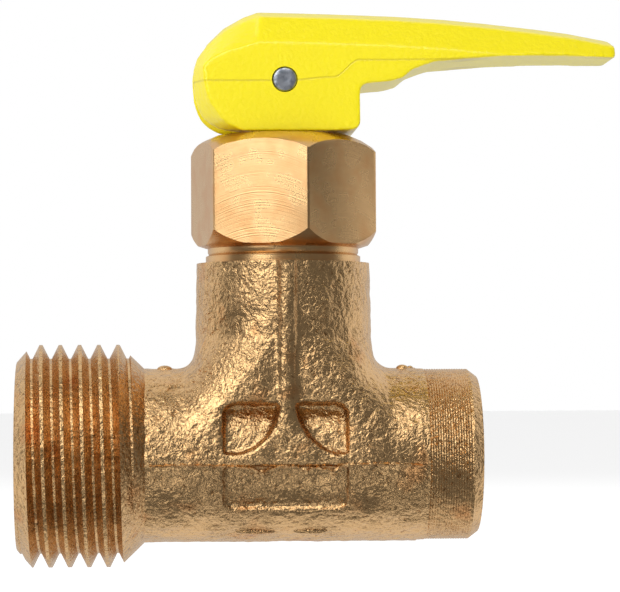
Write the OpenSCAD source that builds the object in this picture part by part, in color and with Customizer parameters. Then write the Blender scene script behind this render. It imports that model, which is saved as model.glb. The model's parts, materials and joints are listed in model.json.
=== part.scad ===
// Lever-operated shut-off valve: a forged brass body with a male inlet thread and a
// female outlet, a hexagon bonnet screwed into its branch, and a painted cam lever that
// lifts a spring-loaded seat disc. Millimetres. The origin is the centre of the inlet
// face, +X runs along the flow to the outlet and +Z along the stem.

/* [Body] */
// Length of the body from the inlet face to the outlet face
body_length = 43.4; // [43:0.1:46]
// Distance from the inlet face to the stem's axis
stem_x = 25.16; // [25:0.01:25.4]
// Radius of the forged run between the two ends
run_r = 8.19; // [8.1:0.01:8.4]
// Radius of the branch at its top face
branch_r = 8.16; // [8.1:0.01:8.3]
// Height of the branch's top face above the run's axis
branch_top = 18.1; // [17.9:0.1:18.4]
// Height of the forging's parting line, below the run's axis
parting_z = -0.9; // [-1.1:0.1:-0.6]
// Depth of the recessed panel on each side
panel_depth = 0.55; // [0.3:0.05:0.6]

/* [Inlet] */
// Outside diameter of the inlet thread
inlet_thread_d = 20.955; // [20.8:0.005:21]
// Pitch of the inlet thread
inlet_pitch = 1.814; // [1.7:0.002:1.85]
// Diameter at the bottom of the inlet thread
inlet_root_d = 18.35; // [18.2:0.05:18.6]
// Radius of the inlet bore
inlet_bore_r = 6; // [5.6:0.1:6.4]
// Depth of the inlet bore
inlet_bore_depth = 12; // [11:0.5:12.5]

/* [Outlet] */
// Radius of the turned outlet end
outlet_r = 8.07; // [8:0.01:8.15]
// Tapping radius of the female outlet
outlet_bore_r = 5.72; // [5.6:0.01:5.8]
// Depth of the female outlet
outlet_depth = 11; // [10:0.5:11.5]

/* [Bonnet] */
// Width of the bonnet's hexagon across its flats
hex_af = 15.8; // [15.6:0.1:16]
// Height of the hexagon's lower face
hex_bottom = 19.5; // [19.4:0.05:19.6]
// Height of the hexagon's upper face
hex_top = 30.2; // [30.1:0.05:30.3]
// Angle of one hexagon corner from the front
hex_turn = 12.3; // [0:0.1:30]

/* [Stem and seat] */
// Radius of the stem
stem_r = 3; // [2.95:0.01:3.02]
// Thickness of the stem's flat tang
tang_width = 4.1; // [4:0.05:4.15]
// Height of the valve seat
seat_z = 6; // [5.9:0.05:6.1]
// Radius of the opening in the valve seat
seat_hole_r = 2.6; // [2.4:0.1:2.7]

/* [Lever] */
// Height of the lever's pin above the bonnet's upper face
pin_height = 4.95; // [4.93:0.01:5.1]
// Width of the lever over its cheeks
lever_width = 10; // [9.8:0.1:10]
// Radius of the lever's pin
pin_r = 1.15; // [1.1:0.01:1.16]

/* [Hidden] */
$fn = 96;
eps = 0.01;

brass = "goldenrod";
steel = "silver";
rubber = "dimgray";

// Inlet thread
thread_crest_flat = 0.2;
thread_root_flat = 0.28;
thread_first_crest = 0.886;
thread_crests = 5;
thread_chamfer_r = 8.86;
thread_tail_x = 10.2;
thread_tail_r = 9.9;
cone_end_x = 11.95;

// Body passages
passage_r = 2.8;
passage_end_x = stem_x + 2.7;
chamber_r = 5.6;
chamber_floor = 4.3;
seat_lip_r = 3.4;
spigot_r = 6.5;
spigot_bottom = 12.6;
gasket_t = 0.5;
spigot_clearance = 0.03;
oblique_r = 2.1;
oblique_angle = 43;
oblique_at = [stem_x + 8.2, 0, 1.6];

// Outer details of the forging; the fillet's steps are [height on the branch, reach on the run]
branch_foot_r = 8.3;
fillet_steps = [[11.2, 8.5], [9.9, 8.9], [9.1, 9.6]];
rib_top_half = 1.2;
rib_foot_half = 5.4;
rib_face_y = 8.4;
land_half = 0.55;
flash_half = 0.18;
flash_y = 8.62;
panel_x = [-5.95, 5.55];
panel_half_z = 4.87;
band_start = body_length - 5.35;
end_chamfer = 0.9;
end_chamfer_r = 7.39;

// Bonnet
hex_r = hex_af / sqrt(3);
neck_top_r = 7.14;
neck_foot_r = 7.33;
dish_r = 4.4;
dish_rim_r = 6.2;
dish_depth = 1.1;
stem_clearance = 0.05;
gland_r = 4.7;
gland_bottom = 22.1;
gland_top = 27.05;
spring_room_r = 5.3;

// Gland stack, from below
bush_t = 1.1;
o_ring_r = 0.8;
o_ring_gap = 0.04;
spacer_t = 0.6;

// Seat disc holder
holder_r = 4.9;
holder_top = 12.4;
holder_lip_z = 6.5;
disc_r = 3.9;
disc_t = 1.58;
disc_gap = 0.02;
holder_floor = 9.3;
screw_r = 0.95;
screw_head_r = 1.7;
clip_z = 10.9;
clip_t = 0.6;
clip_r = 3.7;

// Stem
pin_z = hex_top + pin_height;
tang_round_below_pin = 9;
stem_foot = 9.35;
clip_groove_r = 2.45;
pin_clearance = 0.05;

// Return spring
spring_mean_r = 4.25;
spring_wire_r = 0.42;
spring_turns = 5;
spring_steps = 20;

// Lever: points of its side outline from the pin's centre, along and above
lever_slot_half = 2.15;
slot_reach = 3.3;
head_full_half = 2.6;
crown_half = 1.2;
crown_shoulder_half = 3.2;
crown_shoulder_drop = 0.65;
crown_edge_drop = 3.3;
tip_half = 4.2;
cam_outline = [[-1.5, -4.83], [-3.8, -4.8], [-5.3, -4.62], [-6.17, -4.41], [-7.01, -3.94],
               [-7.63, -3.36], [-8.06, -2.55], [-8.36, -1.6], [-8.52, 0], [-8.52, 1],
               [-8.15, 2.2], [-7.25, 3.6], [-5.6, 5.2], [-3.75, 6.25], [-2.35, 6.75]];
cam_face_outline = [[-1.5, -4.83], [-3.8, -4.8], [-5.2, -4.2], [-5.9, -3.6], [-6.2, -2.95],
                    [-6.6, -2.5], [-6.95, -2.05], [-7.2, -1.4], [-7.5, 0], [-7.6, 1],
                    [-7.6, 1.2], [-6.9, 1.9], [-5.4, 2.6], [-3.75, 3.0], [-2.35, 3.45]];
handle_outline = [[-2.35, 6.75], [3.6, 6.62], [10.7, 6.38], [15.4, 6.08], [19.4, 5.7],
                  [23.7, 5.22], [27, 4.8], [30.7, 4.15], [31.1, 3.95], [31.35, 3.5],
                  [31.45, 2.5], [31.3, 2.2], [27.2, 2.3], [23.6, 2.3], [20.1, 2.2],
                  [16.6, 1.92], [14.1, 1.7], [13.1, 1.36], [12, 0.95], [11.1, 0.18],
                  [9.9, -0.16], [8.7, -0.26], [7.5, -0.4], [7.1, -0.8], [7.05, -1.4],
                  [7.08, -4.1], [6.9, -4.5], [6.25, -4.7], [3.7, -4.8], [1, -4.83],
                  [-1.5, -4.83], [-2.35, -4.8]];
crown_line = [[-2.45, 6.75], [3.6, 6.62], [10.7, 6.38], [15.4, 6.08], [19.4, 5.7],
              [23.7, 5.22], [27, 4.8], [31.5, 3.95]];

// A solid of revolution about the run's axis, from points given as [x, radius]
module turned_x(points) {
    rotate([90, 0, 90]) rotate_extrude() polygon([for (p = points) [p[1], p[0]]]);
}

// A solid of revolution about the stem's axis, from points given as [radius, z]
module turned_z(points) {
    translate([stem_x, 0, 0]) rotate_extrude() polygon(points);
}

// A flat ring about the stem's axis
module ring_z(inner, outer, bottom, top) {
    turned_z([[inner, bottom], [outer, bottom], [outer, top], [inner, top]]);
}

// Points of the inlet thread's ridges, crest by crest
function thread_points() = [
    for (k = [0 : thread_crests - 1])
        let (x = thread_first_crest + k * inlet_pitch,
             r = k == 0 ? 9.75 : inlet_thread_d / 2,
             half = thread_crest_flat / 2,
             root = inlet_pitch / 2 - thread_root_flat / 2)
        each [[x - half, r], [x + half, r], [x + root, inlet_root_d / 2],
              [x + root + thread_root_flat, inlet_root_d / 2]]];

module forged_outside() {
    turned_x(concat([[0, 0], [0, thread_chamfer_r]], thread_points(),
                    [[thread_tail_x, thread_tail_r], [cone_end_x, run_r], [cone_end_x, 0]]));
    turned_x([[cone_end_x - eps, 0], [cone_end_x - eps, run_r], [band_start, run_r],
              [band_start, 0]]);
    turned_x([[band_start - eps, 0], [band_start - eps, outlet_r],
              [body_length - end_chamfer, outlet_r], [body_length, end_chamfer_r],
              [body_length, 0]]);
    // Branch with its draft, and the fillet where it meets the run
    turned_z([[0, 0], [branch_foot_r, 0], [branch_foot_r, 11.8], [branch_r, branch_top],
              [0, branch_top]]);
    for (step = fillet_steps) hull() {
        translate([stem_x, 0, 0]) cylinder(r = branch_foot_r, h = step[0], $fn = 36);
        translate([stem_x - step[1], 0, 0]) rotate([0, 90, 0])
            cylinder(r = run_r, h = 2 * step[1], $fn = 36);
    }
    for (side = [-1, 1]) scale_side(side) {
        // Flat rib down the branch, flared where it meets the parting line
        difference() {
            intersection() {
                translate([stem_x, 0, 0]) rotate([90, 0, 0]) linear_extrude(rib_face_y)
                    polygon(rib_outline());
                translate([stem_x, -rib_face_y + 2, -2]) rotate([2, 0, 0])
                    translate([-12, -2, -1]) cube([24, 10, 24]);
            }
            translate([stem_x - 12, -rib_face_y - 1, branch_top - 1.2]) cube([24, 4, 4]);
        }
        // Flat land and flash along the parting line
        translate([cone_end_x + 0.6, -run_r - 0.06, parting_z])
            cube([band_start - cone_end_x - 0.9, 1, 2 * land_half]);
        translate([cone_end_x + 0.6, -flash_y, parting_z - flash_half])
            cube([band_start - cone_end_x - 0.9, 2, 2 * flash_half]);
    }
}

// Mirrors what it holds to the far side when side is 1
module scale_side(side) {
    if (side < 0) children();
    else mirror([0, 1, 0]) children();
}

// Outline of the rib, in the plane of the front
function rib_outline() = concat(
    [for (a = [0 : 15 : 90]) [-rib_foot_half + 4.2 * sin(a), parting_z + 0.8 + 4.4 * (1 - cos(a))]],
    [[-rib_top_half, branch_top - 0.4], [rib_top_half, branch_top - 0.4]],
    [for (a = [90 : -15 : 0]) [rib_foot_half - 4.2 * sin(a), parting_z + 0.8 + 4.4 * (1 - cos(a))]],
    [[rib_foot_half, parting_z], [-rib_foot_half, parting_z]]);

// Recessed panel, of even depth round the run
module panel(side) {
    scale_side(side) difference() {
        translate([stem_x + panel_x[0], -run_r - 2, -panel_half_z])
            cube([panel_x[1] - panel_x[0], run_r, 2 * panel_half_z]);
        turned_x([[0, 0], [0, run_r - panel_depth], [body_length, run_r - panel_depth],
                  [body_length, 0]]);
        translate([stem_x, 0, 0]) rotate([90, 0, 0]) linear_extrude(rib_face_y + 3)
            polygon(rib_outline());
        translate([0, -rib_face_y - 2, parting_z - flash_half])
            cube([body_length, 6, 2 * land_half + flash_half]);
    }
}

module body() {
    color(brass) difference() {
        forged_outside();
        for (side = [-1, 1]) panel(side);
        // Inlet bore with its drill point, and the passage under the seat
        turned_x([[-1, 0], [-1, inlet_bore_r], [inlet_bore_depth, inlet_bore_r],
                  [inlet_bore_depth + 1.8, passage_r], [passage_end_x, passage_r],
                  [passage_end_x, 0]]);
        translate([stem_x, 0, 0]) cylinder(r = seat_hole_r, h = seat_z + 1);
        // Valve chamber round the raised seat
        turned_z([[seat_lip_r, chamber_floor], [chamber_r, chamber_floor],
                  [chamber_r, branch_top + 1], [0, branch_top + 1], [0, seat_z],
                  [seat_lip_r - 0.3, seat_z], [seat_lip_r, seat_z - 0.3]]);
        ring_z(0, spigot_r, spigot_bottom - gasket_t, branch_top + 1);
        // Female outlet with its drill point, and the oblique passage up to the chamber
        turned_x([[body_length + 1, 0], [body_length + 1, outlet_bore_r],
                  [body_length - outlet_depth, outlet_bore_r],
                  [body_length - outlet_depth - 1.2, 3.2],
                  [body_length - outlet_depth - 1.2, 0]]);
        translate(oblique_at) rotate([0, -oblique_angle, 0]) translate([0, 0, -1])
            cylinder(r = oblique_r, h = 6.5);
    }
}

module bonnet() {
    color(brass) difference() {
        union() {
            intersection() {
                turned_z([[0, hex_bottom - 0.2], [neck_top_r, hex_bottom - 0.2],
                          [neck_top_r, hex_bottom], [8.08, hex_bottom + 0.3],
                          [8.73, hex_bottom + 1.05], [9.5, hex_bottom + 2.1],
                          [9.5, hex_top - 2.1], [8.5, hex_top - 1.15],
                          [7.57, hex_top - 0.55], [6.3, hex_top], [0, hex_top]]);
                translate([stem_x, 0, 0]) rotate([0, 0, hex_turn - 90])
                    cylinder(r = hex_r, h = hex_top + 1, $fn = 6);
            }
            // Neck with its turned groove, and the screwed spigot
            turned_z([[0, branch_top], [neck_foot_r, branch_top], [neck_foot_r, 18.75],
                      [neck_top_r - 0.12, 18.9], [neck_top_r, 19.1], [neck_top_r, hex_bottom],
                      [0, hex_bottom]]);
            ring_z(0, spigot_r - spigot_clearance, spigot_bottom, branch_top + eps);
        }
        // Dish in the top, under the lever's cams
        turned_z([[0, hex_top - dish_depth], [dish_r, hex_top - dish_depth],
                  [dish_rim_r, hex_top + eps], [dish_rim_r, hex_top + 1], [0, hex_top + 1]]);
        translate([stem_x, 0, spigot_bottom - 1])
            cylinder(r = stem_r + stem_clearance, h = hex_top);
        translate([stem_x, 0, spigot_bottom - 1])
            cylinder(r = gland_r, h = gland_top - spigot_bottom + 1);
        translate([stem_x, 0, spigot_bottom - 1])
            cylinder(r = spring_room_r, h = gland_bottom - spigot_bottom + 1);
    }
}

module bonnet_gasket() {
    color("firebrick") ring_z(chamber_r + 0.05, spigot_r - 0.05, spigot_bottom - gasket_t + eps,
                              spigot_bottom - eps);
}

module gland_bush() {
    color(brass) ring_z(stem_r + stem_clearance, gland_r - 0.01, gland_bottom,
                        gland_bottom + bush_t);
}

// One sealing ring of round section, from the height of its underside
module o_ring(bottom) {
    mean = (stem_r + o_ring_gap + gland_r) / 2;
    color(rubber) translate([stem_x, 0, bottom + o_ring_r]) rotate_extrude()
        translate([mean, 0]) circle(r = o_ring_r, $fn = 32);
}

module lower_o_ring() {
    o_ring(gland_bottom + bush_t);
}

module spacer_ring() {
    bottom = gland_bottom + bush_t + 2 * o_ring_r;
    color("ivory") ring_z(stem_r + stem_clearance, gland_r - 0.02, bottom, bottom + spacer_t);
}

module upper_o_ring() {
    o_ring(gland_bottom + bush_t + 2 * o_ring_r + spacer_t);
}

// Ring of wire points at one place along the spring's helix
function wire_ring(turn, z) = [
    for (a = [0 : 45 : 315])
        let (r = spring_mean_r + spring_wire_r * cos(a))
        [r * cos(360 * turn), r * sin(360 * turn), z + spring_wire_r * sin(a)]];

// Height of the wire along its turns: half a turn lies flat at each end
function wire_z(turn, low, high) =
    low + (high - low) * min(1, max(0, (turn - 0.5) / (spring_turns - 1)));

module return_spring() {
    low = holder_top + spring_wire_r + 0.02;
    high = gland_bottom - spring_wire_r - 0.02;
    count = spring_turns * spring_steps;
    points = [for (i = [0 : count]) each
        wire_ring(i / spring_steps, wire_z(i / spring_steps, low, high))];
    sides = [for (i = [0 : count - 1]) for (j = [0 : 7])
        [i * 8 + j, (i + 1) * 8 + j, (i + 1) * 8 + (j + 1) % 8, i * 8 + (j + 1) % 8]];
    caps = [[for (j = [0 : 7]) j], [for (j = [7 : -1 : 0]) count * 8 + j]];
    color(steel) translate([stem_x, 0, 0]) polyhedron(points, concat(sides, caps));
}

module disc_holder() {
    color(brass) difference() {
        turned_z([[0, holder_lip_z], [holder_r - 0.3, holder_lip_z],
                  [holder_r, holder_lip_z + 0.3], [holder_r, holder_top - 0.3],
                  [holder_r - 0.3, holder_top], [0, holder_top]]);
        ring_z(0, disc_r, holder_lip_z - 1, seat_z + disc_gap + disc_t);
        translate([stem_x, 0, seat_z]) cylinder(r = screw_r, h = 3.2);
        translate([stem_x, 0, holder_floor])
            cylinder(r = stem_r + stem_clearance, h = holder_top);
        ring_z(0, clip_r + 0.02, clip_z - 0.02, clip_z + clip_t + 0.02);
    }
}

module seat_disc() {
    color(rubber) ring_z(screw_r + 0.02, disc_r - 0.02, seat_z + disc_gap,
                         seat_z + disc_gap + disc_t);
}

module disc_washer() {
    color(brass) ring_z(screw_r + 0.02, 2.2, seat_z - 0.5, seat_z + disc_gap);
}

module disc_screw() {
    color(steel) difference() {
        union() {
            turned_z([[0, seat_z - 1.7], [screw_head_r - 0.3, seat_z - 1.7],
                      [screw_head_r, seat_z - 1.4], [screw_head_r, seat_z - 0.5],
                      [0, seat_z - 0.5]]);
            translate([stem_x, 0, seat_z - 0.6]) cylinder(r = screw_r - 0.01, h = 3.7);
        }
        translate([stem_x - 0.2, -3, seat_z - 2]) cube([0.4, 6, 0.8]);
    }
}

module stem_clip() {
    color(steel) difference() {
        ring_z(clip_groove_r + 0.1, clip_r, clip_z, clip_z + clip_t);
        translate([stem_x, -0.5, clip_z - 1]) cube([5, 1, 3]);
    }
}

module stem() {
    color(brass) difference() {
        union() {
            turned_z([[0, stem_foot], [stem_r - 0.3, stem_foot], [stem_r, stem_foot + 0.3],
                      [stem_r, pin_z], [0, pin_z]]);
            translate([stem_x, 0, pin_z]) rotate([90, 0, 0])
                cylinder(r = stem_r, h = tang_width, center = true);
        }
        // Flats of the tang
        for (side = [-1, 1])
            translate([stem_x - 5, side < 0 ? -10 - tang_width / 2 : tang_width / 2,
                       pin_z - tang_round_below_pin])
                cube([10, 10, 20]);
        // Corners of the tang that would foul the lever's slot
        difference() {
            translate([stem_x - 5, -5, pin_z]) cube([10, 10, 6]);
            translate([stem_x, 0, pin_z]) rotate([90, 0, 0])
                cylinder(r = stem_r, h = 12, center = true);
        }
        difference() {
            ring_z(0, stem_r + 1, clip_z - 0.1, clip_z + clip_t + 0.1);
            translate([stem_x, 0, 0]) cylinder(r = clip_groove_r, h = 30);
        }
        translate([stem_x, 0, pin_z]) rotate([90, 0, 0])
            cylinder(r = pin_r + pin_clearance, h = 12, center = true);
    }
}

// A flat slice of the lever: an outline in its side view, between two widths
module lever_slice(points, half) {
    rotate([90, 0, 0]) linear_extrude(2 * half, center = true) polygon(points);
}

// Outline with its upper edge lowered, for the rounded crown of the handle
function crown_slice(drop, end_x) = concat(
    [for (p = crown_line) [min(p[0], end_x), p[1] - drop]], [[end_x, -7], [-2.45, -7]]);

module lever_head() {
    hull() {
        lever_slice(cam_outline, crown_half);
        lever_slice([for (p = cam_outline) [p[0], min(p[1], p[1] > 2 ?
                     p[1] - crown_shoulder_drop * (p[1] - 2) / 4.75 : p[1])]], head_full_half);
        lever_slice(cam_face_outline, lever_width / 2);
    }
}

module lever_handle() {
    intersection() {
        lever_slice(handle_outline, lever_width / 2);
        hull() {
            lever_slice(crown_slice(0, 31.5), crown_half);
            lever_slice(crown_slice(crown_shoulder_drop, 31.5), crown_shoulder_half);
            lever_slice(crown_slice(crown_edge_drop, 27), lever_width / 2);
            lever_slice(crown_slice(crown_edge_drop - 0.8, 31), tip_half);
        }
    }
}

module lever() {
    color("yellow") translate([stem_x, 0, pin_z]) difference() {
        union() {
            lever_head();
            lever_handle();
        }
        // Slot for the stem's tang, open at the end and below
        translate([-12, -lever_slot_half, -8]) cube([12 + slot_reach, 2 * lever_slot_half, 8]);
        translate([-12, -lever_slot_half, -8]) cube([12, 2 * lever_slot_half, 8 + slot_reach]);
        rotate([90, 0, 0]) cylinder(r = slot_reach, h = 2 * lever_slot_half, center = true);
        rotate([90, 0, 0]) cylinder(r = pin_r, h = 20, center = true);
    }
}

module pivot_pin() {
    half = lever_width / 2;
    color(steel) translate([stem_x, 0, pin_z]) rotate([90, 0, 0]) rotate_extrude()
        polygon([[0, -half - 0.12], [pin_r - 0.25, -half - 0.12], [pin_r - 0.01, -half + 0.05],
                 [pin_r - 0.01, half - 0.05], [pin_r - 0.25, half + 0.12], [0, half + 0.12]]);
}

body();
bonnet();
bonnet_gasket();
gland_bush();
lower_o_ring();
spacer_ring();
upper_o_ring();
return_spring();
disc_holder();
seat_disc();
disc_washer();
disc_screw();
stem_clip();
stem();
lever();
pivot_pin();
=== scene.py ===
"""Dresses a small lever-operated shut-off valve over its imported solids: a bright forged
brass body with turned ends, a drawn hexagon bonnet, and a yellow coated cam lever on a
steel pin. Pieces are modelled in millimetres and brought to metres as they are finished."""

import json
from math import acos, asin, atan2, cos, hypot, pi, radians, sin, sqrt, tan

import bmesh
import bpy
from mathutils import Matrix, Vector, noise

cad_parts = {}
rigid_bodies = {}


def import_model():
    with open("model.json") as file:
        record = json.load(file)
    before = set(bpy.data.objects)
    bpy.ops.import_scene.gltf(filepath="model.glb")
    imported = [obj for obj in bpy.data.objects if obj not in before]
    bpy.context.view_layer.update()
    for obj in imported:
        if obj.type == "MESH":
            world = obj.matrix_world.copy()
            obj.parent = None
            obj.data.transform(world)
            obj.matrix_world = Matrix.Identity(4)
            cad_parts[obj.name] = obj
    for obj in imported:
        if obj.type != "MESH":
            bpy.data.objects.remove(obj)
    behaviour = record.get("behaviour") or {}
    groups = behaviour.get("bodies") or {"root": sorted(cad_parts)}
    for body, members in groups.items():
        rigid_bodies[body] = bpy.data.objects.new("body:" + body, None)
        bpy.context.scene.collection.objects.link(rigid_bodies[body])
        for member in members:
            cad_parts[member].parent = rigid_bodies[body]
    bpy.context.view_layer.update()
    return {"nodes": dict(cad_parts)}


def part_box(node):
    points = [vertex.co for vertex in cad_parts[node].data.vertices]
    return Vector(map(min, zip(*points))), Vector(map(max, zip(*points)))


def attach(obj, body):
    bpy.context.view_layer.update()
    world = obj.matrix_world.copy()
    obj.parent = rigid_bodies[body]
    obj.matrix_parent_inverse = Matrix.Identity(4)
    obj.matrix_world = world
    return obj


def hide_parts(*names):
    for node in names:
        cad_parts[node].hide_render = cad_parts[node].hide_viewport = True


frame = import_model()

# Scale, axes and the frame's own sizes
METRE = 0.001
X, Y, Z = Vector((1, 0, 0)), Vector((0, 1, 0)), Vector((0, 0, 1))


def box_mm(node):
    """Lowest and highest corner of a CAD node, in millimetres."""
    low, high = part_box(node)
    return low / METRE, high / METRE


body_low, body_high = box_mm("body")
stem_low, stem_high = box_mm("stem")
bonnet_low, bonnet_high = box_mm("bonnet")
lever_low, lever_high = box_mm("lever")
pin_low, pin_high = box_mm("pivot_pin")
STEM_X = (stem_low.x + stem_high.x) / 2
BODY_END = body_high.x
THREAD_R = body_high.y
BRANCH_TOP = body_high.z
HEX_TOP = bonnet_high.z
PIN_Z = (pin_low.z + pin_high.z) / 2
PIN_HALF = pin_high.y
LEVER_HALF = lever_high.y

# Forging
RUN_R = 8.19
BRANCH_FOOT_R = 8.3
BRANCH_TOP_R = 8.16
PARTING_Z = -0.9
FILLET_STEPS = ((11.2, 8.5), (9.9, 8.9), (9.1, 9.6))
RIB_TOP_HALF = 0.75
RIB_FOOT_HALF = 5.3
RIB_FACE_Y = 8.5
RIB_LEAN = 1.5
PANEL_X = (STEM_X - 5.95, STEM_X + 5.55)
PANEL_HALF_Z = 4.87
PANEL_DEPTH = 0.55
SKIN_GRAIN = 0.21

# Threads and turned ends
INLET_PITCH = 1.814
INLET_ROOT_R = 9.175
INLET_CREST_AT_FRONT = 2.70
INLET_FACE_R = 8.86
CONE_START, CONE_START_R = 9.62, 10.4775
CONE_END = 11.95
OUTLET_PITCH = 1.337
OUTLET_TAP_R, OUTLET_MAJOR_R = 5.72, 6.56
OUTLET_DEPTH = 11.0
OUTLET_R = 8.07
OUTLET_RIM_R = 7.39
BAND_START = BODY_END - 6.0
RIDGE_START, RIDGE_END = BODY_END - 4.95, BODY_END - 1.15
RIDGE_COUNT = 16
RIDGE_DEPTH = 0.07
INLET_BORE_R, INLET_BORE_DEPTH = 6.0, 12.0


def to_part(name, bm):
    """A new object from a bmesh, still in millimetres."""
    bmesh.ops.recalc_face_normals(bm, faces=bm.faces)
    mesh = bpy.data.meshes.new(name)
    bm.to_mesh(mesh)
    bm.free()
    part = bpy.data.objects.new(name, mesh)
    bpy.context.scene.collection.objects.link(part)
    return part


def settle(part):
    """Applies a part's modifiers to its mesh."""
    graph = bpy.context.evaluated_depsgraph_get()
    mesh = bpy.data.meshes.new_from_object(part.evaluated_get(graph))
    part.modifiers.clear()
    old, part.data = part.data, mesh
    bpy.data.meshes.remove(old)


def combine(part, operation, *tools):
    """Joins, cuts or trims a closed part with closed tools, which are used up."""
    for tool in tools:
        change = part.modifiers.new(operation, "BOOLEAN")
        change.operation = operation
        change.solver = "MANIFOLD"
        change.object = tool
    settle(part)
    for tool in tools:
        bpy.data.objects.remove(tool)
    return part


def turned(name, points, axis=X, at=(0, 0, 0), closed=False, steps=160):
    """A solid of revolution from (along, radius) points. It is a ring where closed."""
    bm = bmesh.new()
    side = Z if axis == X else X
    verts = [bm.verts.new(axis * along + side * radius) for along, radius in points]
    pairs = list(zip(verts, verts[1:])) + ([(verts[-1], verts[0])] if closed else [])
    edges = [bm.edges.new(pair) for pair in pairs]
    bmesh.ops.spin(bm, geom=verts + edges, axis=axis, angle=2 * pi, steps=steps, use_merge=True)
    bmesh.ops.remove_doubles(bm, verts=bm.verts, dist=1e-4)
    bmesh.ops.translate(bm, verts=bm.verts, vec=at)
    return to_part(name, bm)


def slab(name, outline, half, taper=0.0):
    """An outline in the XZ plane, pulled out to half on both sides of the middle plane."""
    bm = bmesh.new()
    face = bm.faces.new([bm.verts.new((x, -half, z)) for x, z in outline])
    pulled = bmesh.ops.extrude_face_region(bm, geom=[face])["geom"]
    verts = [v for v in pulled if isinstance(v, bmesh.types.BMVert)]
    bmesh.ops.translate(bm, verts=verts, vec=Y * 2 * half)
    return to_part(name, bm)


def shrink_wrap(bm):
    """Keeps only the convex skin of a bmesh's points."""
    made = bmesh.ops.convex_hull(bm, input=bm.verts)
    spare = {v for v in made["geom_interior"] + made["geom_unused"]
             if isinstance(v, bmesh.types.BMVert)}
    bmesh.ops.delete(bm, geom=list(spare), context="VERTS")
    return bm


def wrapped(name, slices):
    """The convex solid round several (outline, half width) slices."""
    bm = bmesh.new()
    for outline, half in slices:
        for x, z in outline:
            for y in (-half, half):
                bm.verts.new((x, y, z))
    return to_part(name, shrink_wrap(bm))


def screw_rod(name, pitch, crest_r, root_r, front_crest, start, turns, steps=128):
    """A closed rod with a right-hand thread along X. A crest passes the front, at -Y, at
    front_crest; start is where the thread begins."""
    crest, root = 0.1 * pitch, 0.12 * pitch
    rise = (pitch - crest - root) / 2
    profile = [(0, root_r), (rise, crest_r), (rise + crest, crest_r),
               (pitch - root, root_r), (pitch, root_r)]
    # The sweep begins at the top, a quarter turn before the front
    crest_top = front_crest - pitch / 4
    begin = crest_top - rise - crest / 2
    begin += pitch * int((start - begin) / pitch - 1)
    bm = bmesh.new()
    verts = [bm.verts.new((begin + along, 0, radius)) for along, radius in profile]
    edges = [bm.edges.new(pair) for pair in zip(verts, verts[1:])]
    bmesh.ops.spin(bm, geom=verts + edges, axis=X, angle=2 * pi * turns,
                   dvec=X * (pitch / steps), steps=turns * steps)
    bmesh.ops.remove_doubles(bm, verts=bm.verts, dist=1e-3)
    rim = [e for e in bm.edges if len(e.link_faces) == 1]
    middle = begin + pitch * (turns + 1) / 2
    for low in (True, False):
        loop = [e for e in rim if ((e.verts[0].co.x + e.verts[1].co.x) / 2 < middle) == low]
        made = bmesh.ops.extrude_edge_only(bm, edges=loop)["geom"]
        tips = [v for v in made if isinstance(v, bmesh.types.BMVert)]
        apex = Vector((begin - pitch if low else begin + pitch * (turns + 2), 0, 0))
        bmesh.ops.pointmerge(bm, verts=tips, merge_co=apex)
    bmesh.ops.dissolve_degenerate(bm, dist=1e-5, edges=bm.edges)
    return to_part(name, bm)


def bore(name, radius, low, high, axis=X, at=(0, 0, 0), steps=96):
    """A plain cylinder to cut with."""
    return turned(name, [(low, 0), (low, radius), (high, radius), (high, 0)], axis, at, steps=steps)


def finish_piece(part, body, nodes, materials, sharp=35):
    """Brings a part to metres, smooths its shading and puts it in the frame."""
    part.data.transform(Matrix.Scale(METRE, 4))
    part.data.materials.clear()
    for material in materials:
        part.data.materials.append(material)
    part.data.shade_smooth()
    part.data.set_sharp_from_angle(angle=radians(sharp))
    part.data.validate()
    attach(part, body)
    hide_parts(*nodes)
    return part


def sort_faces(part, rule):
    """Gives each face the material number that the rule finds from its centre and normal."""
    for face in part.data.polygons:
        face.material_index = rule(face.center, face.normal)


# The forging


def rib_outline():
    """Outline of the flat rib, flared where it meets the parting line."""
    steps = [radians(15 * k) for k in range(7)]
    flare_w, flare_h = RIB_FOOT_HALF - RIB_TOP_HALF, 5.2
    left = [(STEM_X - RIB_FOOT_HALF + flare_w * sin(a), PARTING_Z + 1.1 + flare_h * (1 - cos(a)))
            for a in steps]
    right = [(2 * STEM_X - x, z) for x, z in reversed(left)]
    return [(STEM_X - RIB_FOOT_HALF, PARTING_Z), *left, (STEM_X - RIB_TOP_HALF, BRANCH_TOP + 1),
            (STEM_X + RIB_TOP_HALF, BRANCH_TOP + 1), *right, (STEM_X + RIB_FOOT_HALF, PARTING_Z)]


def panel_tool(side):
    """Cuts one recessed panel: a block with sloping sides, down to an even depth."""
    bm = bmesh.new()
    width, height = PANEL_X[1] - PANEL_X[0], 2 * PANEL_HALF_Z
    bmesh.ops.create_cube(bm, size=1)
    bmesh.ops.scale(bm, vec=(width, 6, height), verts=bm.verts)
    uprights = [e for e in bm.edges
                if abs((e.verts[0].co - e.verts[1].co).normalized().y) > 0.9]
    bmesh.ops.bevel(bm, geom=uprights, affect="EDGES", offset=0.9, segments=4, profile=0.5,
                    material=-1)
    centre = Vector(((PANEL_X[0] + PANEL_X[1]) / 2, side * (RUN_R + 1), 0))
    bmesh.ops.translate(bm, verts=bm.verts, vec=centre)
    block = to_part("panel_block", bm)
    core = bore("panel_core", RUN_R - PANEL_DEPTH, 0, BODY_END, steps=96)
    return combine(block, "DIFFERENCE", core)


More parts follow.
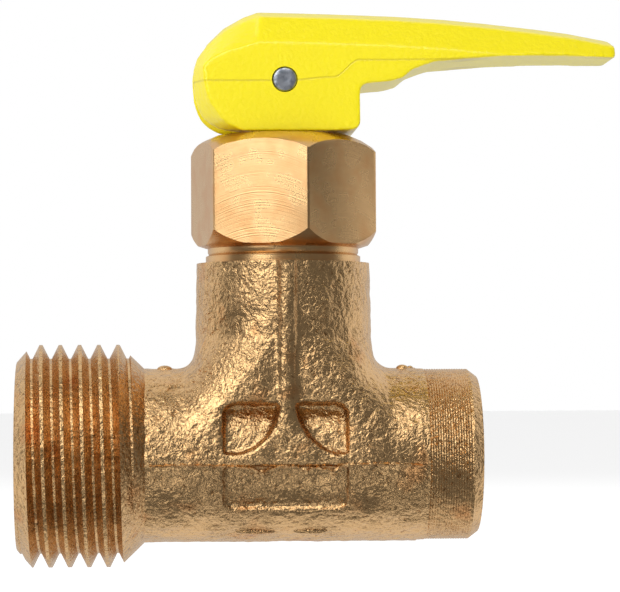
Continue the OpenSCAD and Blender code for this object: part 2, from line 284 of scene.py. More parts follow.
def forged_core():
    """The forging's raw shape, before its skin is melted together."""
    core = turned("forging", [(CONE_END - 1, 0), (CONE_END - 1, RUN_R), (BAND_START + 1, RUN_R),
                              (BAND_START + 1, 0)], steps=96)
    branch = turned("branch", [(0, 0), (0, BRANCH_FOOT_R), (11.8, BRANCH_FOOT_R),
                               (BRANCH_TOP + 1, BRANCH_TOP_R), (BRANCH_TOP + 1, 0)],
                    Z, X * STEM_X, steps=96)
    fillets = []
    for height, reach in FILLET_STEPS:
        bm = bmesh.new()
        for radius, low, high, axis in ((BRANCH_FOOT_R, 0, height, Z),
                                        (RUN_R, -reach, reach, X)):
            ends = (axis * low, axis * high)
            for end in ends:
                turn = Matrix.Rotation(pi / 2, 4, "Y") if axis == X else Matrix.Identity(4)
                place = Matrix.Translation(end + X * STEM_X) @ turn
                bmesh.ops.create_circle(bm, segments=72, radius=radius, matrix=place)
        fillets.append(to_part("fillet", shrink_wrap(bm)))
    combine(core, "UNION", branch, *fillets)
    combine(core, "DIFFERENCE", panel_tool(-1), panel_tool(1))
    combine(core, "UNION", *ribs(), land())
    return core


def ribs():
    """The flat ribs down both sides of the branch, a little proud of it."""
    made = []
    for side in (-1, 1):
        bm = bmesh.new()
        face = bm.faces.new([bm.verts.new((x, 0, z)) for x, z in rib_outline()])
        pulled = bmesh.ops.extrude_face_region(bm, geom=[face])["geom"]
        front = [v for v in pulled if isinstance(v, bmesh.types.BMVert)]
        for vert in front:
            vert.co.y = side * (RIB_FACE_Y + (vert.co.z - PARTING_Z) * tan(radians(RIB_LEAN)))
        edges = [e for e in bm.edges if all(v in front for v in e.verts)]
        bmesh.ops.bevel(bm, geom=edges, affect="EDGES", offset=0.45, segments=3, profile=0.5,
                        material=-1, clamp_overlap=True)
        made.append(to_part("rib", bm))
    return made


def land():
    """The flat lands along the parting line, one on each side."""
    bm = bmesh.new()
    bmesh.ops.create_cube(bm, size=1)
    length = BAND_START - CONE_END + 1
    bmesh.ops.scale(bm, vec=(length, 2 * (RUN_R + 0.08), 1.15), verts=bm.verts)
    bmesh.ops.translate(bm, verts=bm.verts, vec=(CONE_END + length / 2, 0, PARTING_Z + 0.57))
    return to_part("land", bm)


def melt(part, grain, passes, soft_passes=0, soft=None):
    """Turns a part into one evenly meshed skin and softens it, more so where soft says."""
    skin = part.modifiers.new("skin", "REMESH")
    skin.mode = "VOXEL"
    skin.voxel_size = grain
    settle(part)
    ease = part.modifiers.new("ease", "SMOOTH")
    ease.iterations = passes
    if soft_passes:
        group = part.vertex_groups.new(name="soft")
        for vert in part.data.vertices:
            weight = soft(vert.co)
            if weight > 0:
                group.add([vert.index], weight, "REPLACE")
        extra = part.modifiers.new("extra", "SMOOTH")
        extra.iterations = soft_passes
        extra.vertex_group = "soft"
    settle(part)
    part.vertex_groups.clear()


def ramp(value, low, high):
    """Rises smoothly from 0 at low to 1 at high."""
    share = min(1.0, max(0.0, (value - low) / (high - low)))
    return share * share * (3 - 2 * share)


def crotch(point):
    """How far a point of the forging lies in the fillet between branch and run."""
    if point.z < 2:
        return 0.0
    on_run = 1 - ramp(abs(hypot(point.y, point.z) - RUN_R), 1.2, 3.2)
    on_branch = 1 - ramp(abs(hypot(point.x - STEM_X, point.y) - BRANCH_FOOT_R), 0.8, 2.6)
    return on_run * on_branch


def pebble(part, height):
    """Pushes the forging's skin in and out, as scale and bright dipping leave it."""
    normals = [v.normal.copy() for v in part.data.vertices]
    for vert, normal in zip(part.data.vertices, normals):
        spot = vert.co
        flat = ramp(abs(abs(spot.y) - RUN_R - 0.15), 0.1, 0.4) if abs(spot.z) < 1.2 else 1.0
        coarse = noise.noise(spot * 0.55)
        fine = noise.noise(spot * 1.35 + Vector((7, 3, 1)))
        vert.co = spot + normal * height * (0.25 + 0.75 * flat) * (coarse + fine)


# The ragged flash: (along, height, half thickness) points of its line
FLASH_LINE = ((12.4, -0.80, 0.12), (16, -0.72, 0.14), (19.5, -0.85, 0.16), (22.0, -1.05, 0.16),
              (22.8, -1.50, 0.22), (23.6, -1.05, 0.16), (24.6, -0.80, 0.16), (26.0, -0.95, 0.15),
              (26.7, -1.30, 0.18), (27.6, -0.98, 0.16), (28.6, -1.12, 0.16), (29.2, -1.40, 0.22),
              (30.4, -0.78, 0.26), (33.6, -0.68, 0.22), (37.6, -0.90, 0.18))


def flash_at(x):
    """Height and half thickness of the flash at a place along the run."""
    for (x0, z0, t0), (x1, z1, t1) in zip(FLASH_LINE, FLASH_LINE[1:]):
        if x <= x1:
            share = ramp(x, x0, x1)
            return z0 + (z1 - z0) * share, t0 + (t1 - t0) * share
    return FLASH_LINE[-1][1:]


def flash(side, step=0.14):
    """The thin ragged flash along one side's parting line."""
    bm = bmesh.new()
    start, end = FLASH_LINE[0][0], BAND_START + 0.3
    ring = bmesh.ops.create_circle(bm, cap_ends=True, segments=6, radius=1,
                                   matrix=Matrix.Rotation(pi / 2, 4, "Y"))["verts"]
    face = ring[0].link_faces[0]
    shapes = []
    count = int((end - start) / step)
    for k in range(count + 1):
        shapes.append(list(face.verts))
        if k < count:
            pulled = bmesh.ops.extrude_face_region(bm, geom=[face])["geom"]
            bmesh.ops.delete(bm, geom=[face], context="FACES") if k else None
            face = next(f for f in pulled if isinstance(f, bmesh.types.BMFace))
    for k, verts in enumerate(shapes):
        x = start + k * step
        z, half = flash_at(x)
        spot = Vector((x * 1.7, side * 5.0, 0))
        z += 0.10 * noise.noise(spot * 1.3)
        half *= 1 + 0.9 * noise.noise(spot * 2.1)
        reach = 0.26 + 0.22 * noise.noise(spot * 1.9 + Z * 4)
        for vert in verts:
            unit = vert.co.copy()
            depth = RUN_R - 0.1 + (reach + 0.1) * max(0.0, abs(unit.y))
            vert.co = (x, side * (RUN_R - 0.3 if unit.y * side < 0.1 else depth), z + half * unit.z)
    return to_part("flash", bm)


def blob(at, size):
    """A low rounded lump on the forging."""
    bm = bmesh.new()
    bmesh.ops.create_icosphere(bm, subdivisions=3, radius=1)
    bmesh.ops.scale(bm, vec=size, verts=bm.verts)
    bmesh.ops.translate(bm, verts=bm.verts, vec=at)
    return to_part("blob", bm)


def lumps():
    """The small lumps left on top of the run, and two low crescents underneath its front."""
    top = [blob((13.9, -0.8, RUN_R - 0.12), (0.75, 0.6, 0.42)),
           blob((36.4, -0.5, RUN_R - 0.1), (0.6, 0.5, 0.40)),
           blob((37.2, 0.3, RUN_R - 0.1), (0.35, 0.4, 0.30))]
    low = [blob((x, -4.1, -7.0), (wide, 0.32, 0.34)) for x, wide in ((22.3, 2.0), (27.4, 1.7))]
    return top + low


def inlet_end():
    """The threaded inlet: a rod with the true thread, trimmed to the turned blank."""
    blank = turned("inlet_end", [(0, 0), (0, INLET_FACE_R), (1.42, THREAD_R),
                                 (CONE_START, CONE_START_R), (CONE_END + 0.15, RUN_R - 0.12),
                                 (CONE_END + 0.9, RUN_R - 0.3), (CONE_END + 0.9, 0)])
    rod = screw_rod("rod", INLET_PITCH, THREAD_R + 0.12, INLET_ROOT_R, INLET_CREST_AT_FRONT,
                    -2, 9)
    return combine(rod, "INTERSECT", blank)


def outlet_end():
    """The turned outlet: a plain band, fine ridges and a chamfered rim."""
    pitch = (RIDGE_END - RIDGE_START) / RIDGE_COUNT
    ridges = []
    for k in range(RIDGE_COUNT):
        x = RIDGE_START + k * pitch
        ridges += [(x, OUTLET_R - RIDGE_DEPTH), (x + pitch * 0.5, OUTLET_R)]
    points = [(BAND_START, 0), (BAND_START, OUTLET_R + 0.06), (RIDGE_START - 0.1, OUTLET_R + 0.03),
              *ridges, (RIDGE_END, OUTLET_R - RIDGE_DEPTH), (RIDGE_END + 0.08, OUTLET_R - 0.02),
              (BODY_END - 0.88, OUTLET_R - 0.02), (BODY_END, OUTLET_RIM_R), (BODY_END, 0)]
    return turned("outlet_end", points, steps=192)


def body_bores():
    """Everything that is drilled, bored and tapped in the body."""
    inlet = turned("inlet_bore", [(-1, 0), (-1, INLET_BORE_R), (INLET_BORE_DEPTH, INLET_BORE_R),
                                  (INLET_BORE_DEPTH + 1.8, 2.8), (STEM_X + 2.7, 2.8),
                                  (STEM_X + 2.7, 0)], steps=96)
    seat = bore("seat", 2.6, 0, 7, Z, X * STEM_X, 64)
    chamber = turned("chamber", [(6, 0), (6, 3.1), (5.7, 3.4), (4.3, 3.4), (4.3, 5.6),
                                 (12.1, 5.6), (12.1, 6.5), (BRANCH_TOP + 3, 6.5),
                                 (BRANCH_TOP + 3, 0)], Z, X * STEM_X, steps=96)
    outlet = turned("outlet_bore", [(BODY_END + 1, 0), (BODY_END + 1, OUTLET_MAJOR_R + 0.6),
                                    (BODY_END - 0.4, OUTLET_TAP_R + 0.75),
                                    (BODY_END - 1.1, OUTLET_TAP_R),
                                    (BODY_END - OUTLET_DEPTH, OUTLET_TAP_R),
                                    (BODY_END - OUTLET_DEPTH - 1.2, 3.2),
                                    (BODY_END - OUTLET_DEPTH - 1.2, 0)], steps=96)
    tap = screw_rod("tap", OUTLET_PITCH, OUTLET_MAJOR_R, OUTLET_TAP_R - 0.02, 40.0,
                    BODY_END - OUTLET_DEPTH, 9, 96)
    trim = bore("tap_trim", 8, BODY_END - OUTLET_DEPTH + 0.8, BODY_END + 1)
    combine(tap, "INTERSECT", trim)
    slant = bore("slant", 2.1, -1, 5.5, Z, steps=48)
    slant.data.transform(Matrix.Translation((STEM_X + 8.2, 0, 1.6))
                         @ Matrix.Rotation(radians(-43), 4, "Y"))
    return [inlet, seat, chamber, outlet, tap, slant]


def body():
    """The brass body: the forged skin, then everything that is turned or drilled."""
    forging = forged_core()
    melt(forging, SKIN_GRAIN, 3, 26, crotch)
    pebble(forging, 0.055)
    combine(forging, "UNION", flash(-1), flash(1), *lumps())
    ends = turned("ends", [(CONE_END, 0), (CONE_END, 30), (BAND_START + 0.2, 30),
                           (BAND_START + 0.2, 0)], steps=32)
    combine(forging, "INTERSECT", ends)
    combine(forging, "UNION", inlet_end(), outlet_end())
    above = turned("above", [(BRANCH_TOP, 0), (BRANCH_TOP, 20), (30, 20), (30, 0)], Z, X * STEM_X,
                   steps=16)
    combine(forging, "DIFFERENCE", above, *body_bores())
    sort_faces(forging, body_finish)
    return forging


CAST, THREADED, TURNED = range(3)


def body_finish(spot, normal):
    """Which of the body's finishes a face has."""
    radius = hypot(spot.y, spot.z)
    if spot.x < CONE_END + 0.2:
        return THREADED
    if spot.x > BAND_START - 0.02 and spot.z < 9:
        return TURNED
    if spot.z > BRANCH_TOP - 0.01 or (spot.z > 6 and hypot(spot.x - STEM_X, spot.y) < 6.6):
        return TURNED
    return TURNED if radius < 6.5 and abs(spot.z) < 6 and hypot(spot.x - STEM_X, spot.y) > 3 \
        and spot.z < 5 and abs(spot.y) < 6.4 and radius < 6.6 else CAST


# The bonnet
HEX_AF = 15.8
HEX_BOTTOM = 19.5
HEX_TURN = 12.3
NECK_TOP_R, NECK_FOOT_R = 7.14, 7.33
STEM_BORE_R = 3.05


def bonnet():
    """The bonnet: drawn hexagon bar, turned at both ends, with its neck and its bores."""
    bm = bmesh.new()
    place = Matrix.Translation((STEM_X, 0, HEX_BOTTOM - 1)) \
        @ Matrix.Rotation(radians(HEX_TURN), 4, "Z")
    bmesh.ops.create_circle(bm, cap_ends=True, segments=6, radius=HEX_AF / sqrt(3), matrix=place)
    # The circle starts on +Y, so a corner already faces front
    pulled = bmesh.ops.extrude_face_region(bm, geom=bm.faces[:])["geom"]
    bmesh.ops.translate(bm, vec=Z * (HEX_TOP - HEX_BOTTOM + 2),
                        verts=[v for v in pulled if isinstance(v, bmesh.types.BMVert)])
    uprights = [e for e in bm.edges if abs((e.verts[0].co - e.verts[1].co).normalized().z) > 0.9]
    bmesh.ops.bevel(bm, geom=uprights, affect="EDGES", offset=0.13, segments=3, profile=0.5,
                    material=-1)
    hexagon = to_part("bonnet", bm)
    envelope = turned("envelope", [(HEX_BOTTOM, 0), (HEX_BOTTOM, NECK_TOP_R),
                                   (HEX_BOTTOM + 0.3, 8.08), (HEX_BOTTOM + 1.05, 8.73),
                                   (HEX_BOTTOM + 2.1, 9.5), (HEX_TOP - 2.1, 9.5),
                                   (HEX_TOP - 1.15, 8.5), (HEX_TOP - 0.55, 7.57),
                                   (HEX_TOP, 6.3), (HEX_TOP, 0)], Z, X * STEM_X)
    combine(hexagon, "INTERSECT", envelope)
    neck = turned("neck", [(12.6, 0), (12.6, 6.47), (BRANCH_TOP + 0.02, 6.47),
                           (BRANCH_TOP + 0.02, NECK_FOOT_R), (18.75, NECK_FOOT_R),
                           (18.9, NECK_TOP_R - 0.12), (19.1, NECK_TOP_R),
                           (HEX_BOTTOM + 0.4, NECK_TOP_R), (HEX_BOTTOM + 0.4, 0)],
                  Z, X * STEM_X)
    combine(hexagon, "UNION", neck)
    dish = turned("dish", [(HEX_TOP - 1.1, 0), (HEX_TOP - 1.1, 4.4), (HEX_TOP, 6.2),
                           (HEX_TOP + 1, 6.2), (HEX_TOP + 1, 0)], Z, X * STEM_X)
    room = turned("room", [(10, 0), (10, 5.3), (22.1, 5.3), (22.1, 4.7), (27.05, 4.7),
                           (27.05, STEM_BORE_R), (HEX_TOP + 2, STEM_BORE_R), (HEX_TOP + 2, 0)],
                  Z, X * STEM_X, steps=96)
    combine(hexagon, "DIFFERENCE", dish, room)
    sort_faces(hexagon, lambda spot, normal: 1 if HEX_BOTTOM < spot.z and abs(normal.z) < 0.02
               and hypot(spot.x - STEM_X, spot.y) > 7.5 else 0)
    return hexagon


# The lever, in its side view from the pin's centre
CAM_OUTLINE = ((-1.5, -4.83), (-3.8, -4.8), (-5.3, -4.62), (-6.17, -4.41), (-7.01, -3.94),
               (-7.63, -3.36), (-8.06, -2.55), (-8.36, -1.6), (-8.52, 0), (-8.52, 1),
               (-8.15, 2.2), (-7.25, 3.6), (-5.6, 5.2), (-3.75, 6.25), (-2.35, 6.75))
CAM_FACE_OUTLINE = ((-1.5, -4.83), (-3.8, -4.8), (-5.2, -4.2), (-5.9, -3.6), (-6.2, -2.95),
                    (-6.6, -2.5), (-6.95, -2.05), (-7.2, -1.4), (-7.5, 0), (-7.6, 1),
                    (-7.6, 1.2), (-6.9, 1.9), (-5.4, 2.6), (-3.75, 3.0), (-2.35, 3.45))
CROWN_LINE = ((-2.45, 6.75), (3.6, 6.62), (10.7, 6.38), (15.4, 6.08), (19.4, 5.7), (23.7, 5.22),
              (27, 4.8), (31.5, 3.95))
HANDLE_FRONT = ((30.7, 4.15), (31.1, 3.95), (31.35, 3.5), (31.45, 2.5), (31.3, 2.2),
                (27.2, 2.3), (23.6, 2.3), (20.1, 2.2), (16.6, 1.92), (14.1, 1.7), (13.1, 1.36),
                (12, 0.95), (11.1, 0.18), (9.9, -0.16), (8.7, -0.26), (7.5, -0.4), (7.1, -0.8),
                (7.05, -1.4), (7.08, -4.1), (6.9, -4.5), (6.25, -4.7), (3.7, -4.8), (1, -4.83),
                (-1.5, -4.83), (-2.35, -4.8))
CROWN_HALF, SHOULDER_HALF, TIP_HALF = 1.2, 3.2, 4.2
SHOULDER_DROP, EDGE_DROP = 0.65, 3.3
SLOT_HALF, SLOT_REACH = 2.15, 3.3
PAINT_GRAIN = 0.19


def lowered(drop, end_x):
    """The crown's line, lowered, and closed far below."""
    line = [(min(x, end_x), z - drop) for x, z in CROWN_LINE]
    return line + [(end_x, -7), (-2.45, -7)]


def lever():
    """The cam lever: cast in one piece with its forked head, and coated."""
    shoulder = [(x, z - SHOULDER_DROP * (z - 2) / 4.75 if z > 2 else z) for x, z in CAM_OUTLINE]
    head = wrapped("lever", [(CAM_OUTLINE, CROWN_HALF), (shoulder, 2.6),
                             (CAM_FACE_OUTLINE, LEVER_HALF)])
    handle = slab("handle", list(CROWN_LINE[:7]) + list(HANDLE_FRONT), LEVER_HALF)
    crown = wrapped("crown", [(lowered(0, 31.5), CROWN_HALF),
                              (lowered(SHOULDER_DROP, 31.5), SHOULDER_HALF),
                              (lowered(EDGE_DROP, 27), LEVER_HALF),
                              (lowered(EDGE_DROP - 0.8, 31), TIP_HALF)])
    combine(handle, "INTERSECT", crown)
    combine(head, "UNION", handle)
    slot_end = bore("slot_end", SLOT_REACH, -SLOT_HALF, SLOT_HALF, Y)
    bm = bmesh.new()
    bmesh.ops.create_cube(bm, size=1, matrix=Matrix.Translation((-12 + (12 + SLOT_REACH) / 2, 0, -4))
                          @ Matrix.Diagonal((12 + SLOT_REACH, 2 * SLOT_HALF, 8, 1)))
    below = to_part("below", bm)
    bm = bmesh.new()
    bmesh.ops.create_cube(bm, size=1, matrix=Matrix.Translation((-6, 0, (SLOT_REACH - 8) / 2))
                          @ Matrix.Diagonal((12, 2 * SLOT_HALF, 8 + SLOT_REACH, 1)))
    behind = to_part("behind", bm)
    combine(head, "DIFFERENCE", slot_end, below, behind)
    melt(head, PAINT_GRAIN, 6)
    combine(head, "DIFFERENCE", bore("pin_hole", 1.2, -LEVER_HALF - 1, LEVER_HALF + 1, Y, steps=64))
    head.data.transform(Matrix.Translation((STEM_X, 0, PIN_Z)))
    return head


def pivot_pin():
    """The bright pin through the fork, with a slightly hollow head at each end."""
    points = [(-PIN_HALF + 0.03, 0), (-PIN_HALF + 0.02, 0.35), (-PIN_HALF, 0.6),
              (-PIN_HALF, 0.86), (-PIN_HALF + 0.05, 1.04), (-PIN_HALF + 0.17, 1.13)]
    points += [(-y, r) for y, r in reversed(points)]
    return turned("pivot_pin", points, Y, (STEM_X, 0, PIN_Z), steps=64)


# Finishes


def paint(red, green, blue):
    """A colour as it is seen on a screen, 0 to 255, as the linear one that shaders use."""
    channels = [c / 255 for c in (red, green, blue)]
    return (*(c / 12.92 if c <= 0.04045 else ((c + 0.055) / 1.055) ** 2.4 for c in channels), 1)


class Wire:
    """A node's output. Plain arithmetic on it adds Math nodes."""

    def __init__(self, finish, socket):
        self.finish, self.socket = finish, socket

    def __add__(self, other):
        return self.finish.math("ADD", self, other)

    def __sub__(self, other):
        return self.finish.math("SUBTRACT", self, other)

    def __rsub__(self, other):
        return self.finish.math("SUBTRACT", other, self)

    def __mul__(self, other):
        return self.finish.math("MULTIPLY", self, other)

    def __truediv__(self, other):
        return self.finish.math("DIVIDE", self, other)

    def __pow__(self, other):
        return self.finish.math("POWER", self, other)

    def __abs__(self):
        return self.finish.math("ABSOLUTE", self)

    __radd__ = __add__
    __rmul__ = __mul__


class Finish:
    """A tree of shader nodes, for a material or for the world."""

    def __init__(self, owner):
        owner.use_nodes = True
        self.owner = owner
        self.tree = owner.node_tree
        self.tree.nodes.clear()

    def add(self, kind, settings=None, sockets=None, out=0):
        """Adds a node: its settings first, then its sockets' values or wires."""
        node = self.tree.nodes.new(kind)
        for name, value in (settings or {}).items():
            if name == "stops":
                elements = node.color_ramp.elements
                while len(elements) < len(value):
                    elements.new(0.5)
                for element, (position, colour) in zip(elements, value):
                    element.position, element.color = position, colour
            else:
                setattr(node, name, value)
        for name, value in (sockets or {}).items():
            if isinstance(value, Wire):
                self.tree.links.new(value.socket, node.inputs[name])
            else:
                node.inputs[name].default_value = value
        return Wire(self, node.outputs[out]) if node.outputs else node

    def math(self, operation, *values):
        return self.add("ShaderNodeMath", {"operation": operation}, dict(enumerate(values)))

    def place(self, centre=(0, 0, 0), turn=(0, 0, 0), stretch=(1, 1, 1)):
        """Object coordinates in millimetres from a centre, turned and stretched."""
        spot = self.add("ShaderNodeTexCoord", out="Object")
        return self.add("ShaderNodeMapping", {"vector_type": "TEXTURE"},
                        {"Vector": spot, "Location": [c * METRE for c in centre],
                         "Rotation": turn, "Scale": [METRE * s for s in stretch]})

    def split(self, vector):
        return [self.add("ShaderNodeSeparateXYZ", {}, {0: vector}, out=k) for k in range(3)]

    def noise(self, vector, scale, detail=2.0, rough=0.5, twist=0.0):
        return self.add("ShaderNodeTexNoise", {"noise_dimensions": "3D"},
                        {"Vector": vector, "Scale": scale, "Detail": detail, "Roughness": rough,
                         "Distortion": twist})

    def lines(self, along, scale, detail=3.0, rough=0.6):
        """Noise that changes along one value only, as tool marks do."""
        return self.add("ShaderNodeTexNoise", {"noise_dimensions": "1D"},
                        {"W": along, "Scale": scale, "Detail": detail, "Roughness": rough})

    def rise(self, value, low, high):
        """0 below low, 1 above high, smooth between."""
        return self.add("ShaderNodeMapRange", {"interpolation_type": "SMOOTHSTEP"},
                        {"Value": value, "From Min": low, "From Max": high})

    def blend(self, share, first, second):
        return self.add("ShaderNodeMix", {"data_type": "RGBA"}, {0: share, 6: first, 7: second},
                        out=2)

    def bump(self, height, under=None):
        """Normals for a height in millimetres."""
        sockets = {"Height": height, "Distance": METRE, "Strength": 1.0}
        if under:
            sockets["Normal"] = under
        return self.add("ShaderNodeBump", {}, sockets)

    def surface(self, **sockets):
        named = {name.replace("_", " "): value for name, value in sockets.items()}
        shader = self.add("ShaderNodeBsdfPrincipled", {}, named)
        self.add("ShaderNodeOutputMaterial", {}, {"Surface": shader})
        return self.owner


def new_finish(name):
    return Finish(bpy.data.materials.new(name))


BRASS = paint(217, 176, 124)
DARK_BRASS = paint(150, 104, 58)
COPPERY = paint(206, 140, 82)
GREEN = paint(60, 104, 84)


def forged_brass():
    """Bright-dipped forging: pebbled, with darker pits and some coppery patches."""
    f = new_finish("forged_brass")
    spot = f.place()
    fine = f.noise(spot, 2.6, 3, 0.55, 0.4)
    mid = f.noise(spot, 1.1, 2, 0.5, 0.3)
    patch = f.noise(spot, 0.22, 1)
    strength = f.rise(patch, 0.3, 0.65) * 0.6 + 0.4
    height = (fine * 0.2 + mid * 0.22) * strength
    pits = f.rise(fine, 0.42, 0.28)
    copper = f.rise(f.noise(spot, 0.3, 2), 0.58, 0.75) * 0.5
    colour = f.blend(copper, BRASS, COPPERY)
    colour = f.blend(pits * 0.8, colour, DARK_BRASS)
    return f.surface(Base_Color=colour, Metallic=1.0, Roughness=0.2 + f.noise(spot, 3.0) * 0.12,
                     Normal=f.bump(height))


def threaded_brass():
    """The cut thread: tool lines, random coppery patches, coppery colour deeper in the thread as a
    painted reflection of the flanks in each other, and a little green in the roots.
    """
    f = new_finish("threaded_brass")
    spot = f.place()
    x, y, z = f.split(spot)
    radius = f.math("SQRT", y * y + z * z)
    along = x * 1.0 + radius * 1.4
    marks = f.lines(along, 7.0)
    patch = f.noise(spot, 0.8, 2)
    # Deeper in the thread the colour turns coppery as a painted reflection of the brass flanks in
    # each other; the same mask keeps the green patina to the roots
    root_reflection_and_patina = f.rise(radius, 9.9, 9.3)
    colour = f.blend(root_reflection_and_patina * 0.55 + f.rise(patch, 0.45, 0.7) * 0.3, BRASS, COPPERY)
    green = root_reflection_and_patina * f.rise(x, 4.6, 3.6) * f.rise(z, 0.5, 5) * f.rise(f.noise(spot, 1.2), 0.45, 0.6)
    colour = f.blend(green * 0.7, colour, GREEN)
    return f.surface(Base_Color=colour, Metallic=1.0, Roughness=0.26 + patch * 0.1,
                     Normal=f.bump(marks * 0.012 + patch * 0.02))


def turned_brass(name, centre=(0, 0, 0), upright=False):
    """Turned brass, with fine lines round the axis."""
    f = new_finish(name)
    spot = f.place(centre)
    x, y, z = f.split(spot)
    radius = f.math("SQRT", (x * x if upright else z * z) + y * y)
    along = (z if upright else x) + radius
    marks = f.lines(along, 9.0)
    patch = f.noise(spot, 0.5, 2)
    colour = f.blend(f.rise(patch, 0.4, 0.7) * 0.35, BRASS, COPPERY)
    return f.surface(Base_Color=colour, Metallic=1.0, Roughness=0.24 + patch * 0.08,
                     Normal=f.bump(marks * 0.014))


def drawn_brass():
    """The hexagon's flats as drawn: long streaks along the bar and a few dark specks."""
    f = new_finish("drawn_brass")
    streaks = f.noise(f.place((STEM_X, 0, 0), stretch=(1, 1, 60)), 2.2, 4, 0.6)
    broad = f.noise(f.place((STEM_X, 0, 0), stretch=(1, 1, 25)), 0.35, 1)
    specks = f.rise(f.noise(f.place(stretch=(1, 1, 3)), 3.4, 2), 0.7, 0.78)
    colour = f.blend(f.rise(streaks, 0.35, 0.65) * 0.35, BRASS, DARK_BRASS)
    colour = f.blend(specks * 0.7, colour, paint(96, 62, 34))
    return f.surface(Base_Color=colour, Metallic=1.0, Roughness=0.2 + streaks * 0.14,
                     Normal=f.bump(streaks * 0.03 + broad * 0.35))


def yellow_coat():
    """Glossy yellow powder coat with a fine orange peel, dented along the parting line, which painted
    shade darkens.
    """
    f = new_finish("yellow_coat")
    spot = f.place((STEM_X, 0, PIN_Z))
    peel = f.noise(spot, 2.4, 2, 0.5)
    x, y, z = f.split(spot)
    seam_z = f.rise(x, 0.0, 4.8) * 0.34 + f.rise(x, 4.6, 7.0) * 1.6 + f.rise(x, 7, 30) * 0.3 - 0.1
    seam_dent_and_shade = f.rise(abs(z - seam_z), 0.16, 0.0) * f.rise(abs(y), 2.3, 2.6)
    # The seam mask darkens the yellow along the parting line as painted shade, and dents the coat
    # there
    colour = f.blend(seam_dent_and_shade * 0.5, paint(250, 232, 6), paint(196, 172, 10))
    return f.surface(Base_Color=colour, Roughness=0.3, Coat_Weight=0.25, Coat_Roughness=0.12,
                     Normal=f.bump(peel * 0.07 - seam_dent_and_shade * 0.03))


def bright_steel():
    f = new_finish("bright_steel")
    spot = f.place()
    cloud = f.noise(spot, 1.6, 3)
    colour = f.blend(f.rise(cloud, 0.4, 0.7), paint(205, 210, 220), paint(150, 158, 172))
    return f.surface(Base_Color=colour, Metallic=1.0, Roughness=0.3 + cloud * 0.15,
                     Normal=f.bump(f.noise(spot, 5.0, 2) * 0.02))


def plain_moulding(name, colour, dark, roughness, scale=1.5):
    f = new_finish(name)
    cloud = f.noise(f.place(), scale, 3)
    return f.surface(Base_Color=f.blend(cloud, colour, dark), Roughness=roughness,
                     Normal=f.bump(cloud * 0.02))


# The studio


def studio_world():
    """White behind the valve, a dim room in front of it, and plain white for the camera."""
    world = bpy.data.worlds.new("studio")
    bpy.context.scene.world = world
    f = Finish(world)
    x, y, z = f.split(f.add("ShaderNodeTexCoord", out="Generated"))
    behind = f.rise(y, -0.02, 0.10)
    level = 0.17 + behind * 0.83 - f.rise(y, 0.5, 1.0) * 0.35
    seen = f.add("ShaderNodeLightPath", out="Is Camera Ray")
    strength = level * (1 - seen) + seen
    back = f.add("ShaderNodeBackground", {}, {"Color": (1, 1, 1, 1), "Strength": strength})
    f.add("ShaderNodeOutputWorld", {}, {"Surface": back})


def panel_lamp(name, azimuth, elevation, distance, size, radiance, shiny=True):
    """A soft rectangular lamp aimed at the valve, of a given brightness per area."""
    data = bpy.data.lights.new(name, "AREA")
    data.shape = "RECTANGLE"
    data.size, data.size_y = size
    data.energy = radiance * pi * size[0] * size[1]
    lamp = bpy.data.objects.new(name, data)
    a, e = radians(azimuth), radians(elevation)
    back = Vector((sin(a) * cos(e), -cos(a) * cos(e), sin(e)))
    lamp.location = Vector((STEM_X, 0, 12)) * METRE + back * distance
    lamp.rotation_mode = "QUATERNION"
    lamp.rotation_quaternion = (-back).to_track_quat("-Z", "Y")
    lamp.visible_glossy = shiny
    bpy.context.scene.collection.objects.link(lamp)


FLOOR_Z = -32.0


def floor():
    """A plain pale floor that keeps the valve's shadow and reads as white."""
    bm = bmesh.new()
    bmesh.ops.create_grid(bm, x_segments=2, y_segments=2, size=4000)
    bmesh.ops.translate(bm, verts=bm.verts, vec=Z * FLOOR_Z)
    part = to_part("floor", bm)
    part.data.transform(Matrix.Scale(METRE, 4))
    f = new_finish("floor")
    seen = f.add("ShaderNodeLightPath", out="Is Camera Ray")
    matt = f.add("ShaderNodeBsdfDiffuse", {}, {"Color": paint(235, 235, 235)})
    glow = f.add("ShaderNodeEmission", {}, {"Color": (1, 1, 1, 1), "Strength": seen * 0.45})
    both = f.add("ShaderNodeAddShader", {}, {0: matt, 1: glow})
    f.add("ShaderNodeOutputMaterial", {}, {"Surface": both})
    part.data.materials.append(f.owner)
    part.visible_glossy = False


CAMERA_AT = Vector((11.891, -276.651, 6.522))
CAMERA_TO = Vector((27.708, 0, 15.031))
CAMERA_ROLL = 0.269
CAMERA_LENS = 169.5


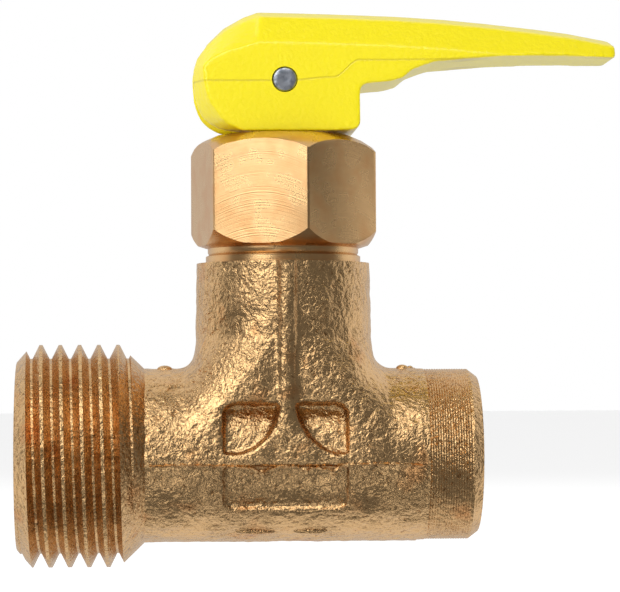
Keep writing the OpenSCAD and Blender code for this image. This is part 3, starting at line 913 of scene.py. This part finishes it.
def camera():
    """The photograph's own view."""
    data = bpy.data.cameras.new("camera")
    data.lens, data.sensor_width = CAMERA_LENS, 36
    data.clip_start, data.clip_end = 0.01, 20
    made = bpy.data.objects.new("camera", data)
    bpy.context.scene.collection.objects.link(made)
    look = (CAMERA_TO - CAMERA_AT).normalized()
    right = look.cross(Z).normalized()
    up = right.cross(look)
    roll = radians(CAMERA_ROLL)
    tilted = right * cos(roll) - up * sin(roll)
    upright = right * sin(roll) + up * cos(roll)
    turn = Matrix((tilted, upright, -look)).transposed()
    made.matrix_world = Matrix.Translation(CAMERA_AT * METRE) @ turn.to_4x4()
    bpy.context.scene.camera = made


def studio():
    studio_world()
    floor()
    panel_lamp("key", -35, 24, 0.5, (0.26, 0.40), 3.0)
    panel_lamp("top", -6, 50, 0.5, (0.40, 0.22), 2.2)
    panel_lamp("card", -5, -34, 0.5, (0.30, 0.14), 1.6)
    panel_lamp("front_fill", -15, 20, 0.8, (0.8, 0.6), 0.9, shiny=False)
    panel_lamp("back_fill", 160, 35, 0.8, (0.8, 0.6), 0.5, shiny=False)


def dress_internals(turned_up, steel, rubber, plastic, fibre):
    """Finishes for the CAD nodes that stay as they are."""
    finishes = {"stem": turned_up, "gland_bush": turned_up, "disc_holder": turned_up,
                "disc_washer": turned_up, "return_spring": steel, "disc_screw": steel,
                "stem_clip": steel, "lower_o_ring": rubber, "upper_o_ring": rubber,
                "seat_disc": rubber, "spacer_ring": plastic, "bonnet_gasket": fibre}
    for node, material in finishes.items():
        part = frame["nodes"][node]
        part.data.materials.clear()
        part.data.materials.append(material)


bpy.context.scene.view_settings.view_transform = "Standard"
camera()
studio()
up_brass = turned_brass("turned_brass_up", (STEM_X, 0, 0), True)
steel = bright_steel()
finish_piece(body(), "valve_body", ["body"],
             [forged_brass(), threaded_brass(), turned_brass("turned_brass")])
finish_piece(bonnet(), "valve_body", ["bonnet"], [up_brass, drawn_brass()])
finish_piece(lever(), "cam_lever", ["lever"], [yellow_coat()], 50)
finish_piece(pivot_pin(), "cam_lever", ["pivot_pin"], [steel])
dress_internals(up_brass, steel, plain_moulding("rubber", paint(34, 34, 36), paint(22, 22, 24), 0.55),
                plain_moulding("spacer_plastic", paint(228, 226, 216), paint(212, 208, 196), 0.4),
                plain_moulding("gasket_fibre", paint(128, 44, 34), paint(96, 34, 28), 0.8))
for part in list(bpy.context.scene.objects):
    if part.type == "MESH":
        print("PIECE", part.name, len(part.data.polygons))
